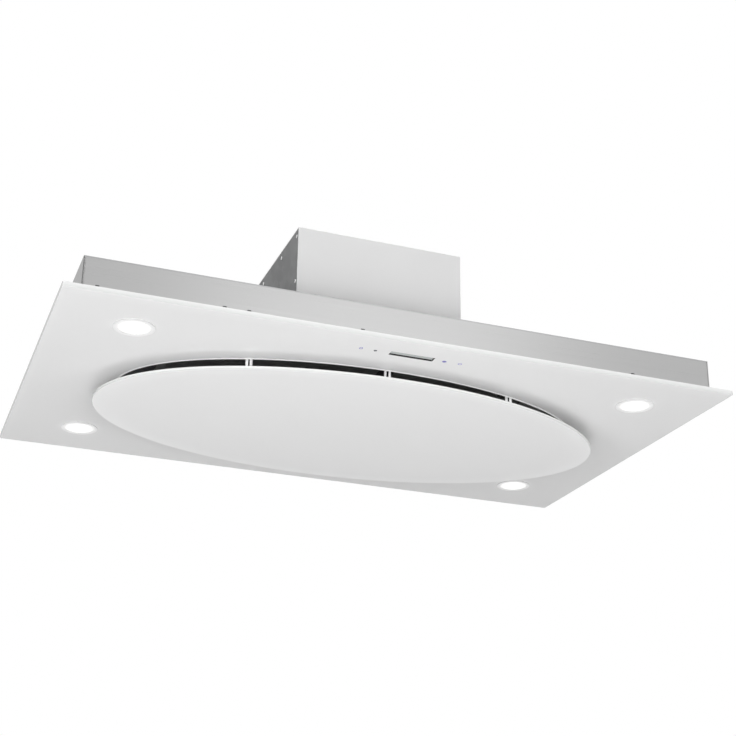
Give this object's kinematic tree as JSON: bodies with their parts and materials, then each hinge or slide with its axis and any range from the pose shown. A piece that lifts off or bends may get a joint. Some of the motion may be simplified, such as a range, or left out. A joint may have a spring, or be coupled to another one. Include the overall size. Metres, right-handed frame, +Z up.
{
  "type": "ceiling range hood",
  "caption": "Ceiling range hood: flat glass panel with an oval opening behind a hinged oval cover disc, spot lamps, touch keys, shallow steel body, blower box and round duct collar.",
  "frame": {"origin": "centre of the ceiling hangers' hole pattern, on the hangers' top faces", "axes": "+Z up towards the ceiling slab, +X along the panel's width to the right seen from the front, the front with the display towards -Y"},
  "size_m": [1.2, 0.745, 0.3677],
  "materials": {
    "panel_glass": "glossy, colour-backed",
    "disc_glass": "glossy, colour-backed",
    "bright_trim": "polished",
    "body_steel": "brushed lengthways",
    "galvanised_sheet": "plain zinc-coated sheet",
    "box_sheet": "satin light grey",
    "black_sheet": "matt black",
    "filter_metal": "black anodised",
    "filter_mesh": "layered wire mesh",
    "disc_frame_metal": "dark anodised",
    "black_plastic": "moulded",
    "clip_plastic": "moulded",
    "lamp_rim": "moulded white",
    "lamp_lens": "frosted, lit",
    "lamp_can": "cast",
    "lamp_board": "white coated board",
    "display_lens": "glossy, tinted",
    "circuit_board": "coated board",
    "driver_case": "moulded",
    "tray_plastic": "moulded",
    "screw_steel": "bright zinc",
    "blower_sheet": "plain zinc-coated sheet",
    "impeller_sheet": "pressed",
    "shaft_steel": "ground",
    "core_steel": "laminated",
    "motor_can": "cast",
    "bearing_steel": "ground",
    "capacitor_case": "moulded",
    "collar_plastic": "moulded",
    "gasket_foam": "foam strip"
  },
  "bodies": {
    "hood": {"glass_panel": "panel_glass", "opening_trim": "bright_trim", "body_front": "body_steel", "body_rear": "body_steel", "body_end_left": "body_steel", "body_end_right": "body_steel", "body_top": "galvanised_sheet", "glass_rails": "galvanised_sheet", "front_edge_clips": "clip_plastic", "ceiling_hangers": "galvanised_sheet", "suction_collar": "black_sheet", "filter_tray": "black_sheet", "plenum_wall": "black_sheet", "filter_meshes": "filter_mesh", "stud_catches": "black_plastic", "hinge_brackets": "black_sheet", "lamp_bezels": "lamp_rim", "lamp_lenses": "lamp_lens", "lamp_housings": "lamp_can", "lamp_boards": "lamp_board", "display_window": "display_lens", "touch_board": "circuit_board", "box_front": "box_sheet", "box_rear": "box_sheet", "box_side_left": "box_sheet", "box_side_right": "box_sheet", "box_top": "box_sheet", "box_screws": "screw_steel", "scroll_wrapper": "blower_sheet", "scroll_cheeks": "blower_sheet", "inlet_rings": "blower_sheet", "motor_stator": "core_steel", "motor_housing": "motor_can", "motor_end_cap": "motor_can", "motor_bearings": "bearing_steel", "motor_bracket": "blower_sheet", "run_capacitor": "capacitor_case", "outlet_collar": "collar_plastic", "collar_gasket": "gasket_foam", "flap_pins": "shaft_steel", "electronics_tray": "tray_plastic", "control_board": "circuit_board", "lamp_driver": "driver_case", "cable_gland": "black_plastic", "filter_left": "filter_metal", "filter_middle": "filter_metal", "filter_right": "filter_metal"},
    "disc": {"cover_disc": "disc_glass", "disc_frame": "disc_frame_metal", "disc_studs": "bright_trim", "hinge_leaves": "black_sheet", "hinge_pins": "shaft_steel"},
    "fan": {"impeller": "impeller_sheet", "motor_shaft": "shaft_steel", "motor_rotor": "core_steel"},
    "left_flap": {"flap_left": "collar_plastic"},
    "right_flap": {"flap_right": "collar_plastic"},
    "left_latch": {"latch_left": "clip_plastic"},
    "middle_latch": {"latch_middle": "clip_plastic"},
    "right_latch": {"latch_right": "clip_plastic"}
  },
  "joints": [
    {"name": "disc_hinge", "type": "hinge", "parent": "hood", "child": "disc", "pos_m": [0, 0.231, -0.116], "axis": [1, 0, 0], "range_deg": [0, 60]},
    {"name": "fan_spin", "type": "hinge", "parent": "hood", "child": "fan", "pos_m": [-0.06714, 0, 0.0785], "axis": [0, 1, 0], "continuous": true},
    {"name": "left_flap_hinge", "type": "hinge", "parent": "hood", "child": "left_flap", "pos_m": [-0.0045, 0, 0.2038], "axis": [0, 1, 0], "range_deg": [0, 80]},
    {"name": "right_flap_hinge", "type": "hinge", "parent": "hood", "child": "right_flap", "pos_m": [0.0045, 0, 0.2038], "axis": [0, -1, 0], "range_deg": [0, 80]},
    {"name": "left_latch_slide", "type": "slide", "parent": "hood", "child": "left_latch", "axis": [0, 1, 0], "range_m": [0, 0.008], "stiffness_N_per_m": 300, "springref_m": -0.004},
    {"name": "middle_latch_slide", "type": "slide", "parent": "hood", "child": "middle_latch", "axis": [0, 1, 0], "range_m": [0, 0.008], "stiffness_N_per_m": 300, "springref_m": -0.004},
    {"name": "right_latch_slide", "type": "slide", "parent": "hood", "child": "right_latch", "axis": [0, 1, 0], "range_m": [0, 0.008], "stiffness_N_per_m": 300, "springref_m": -0.004}
  ]
}
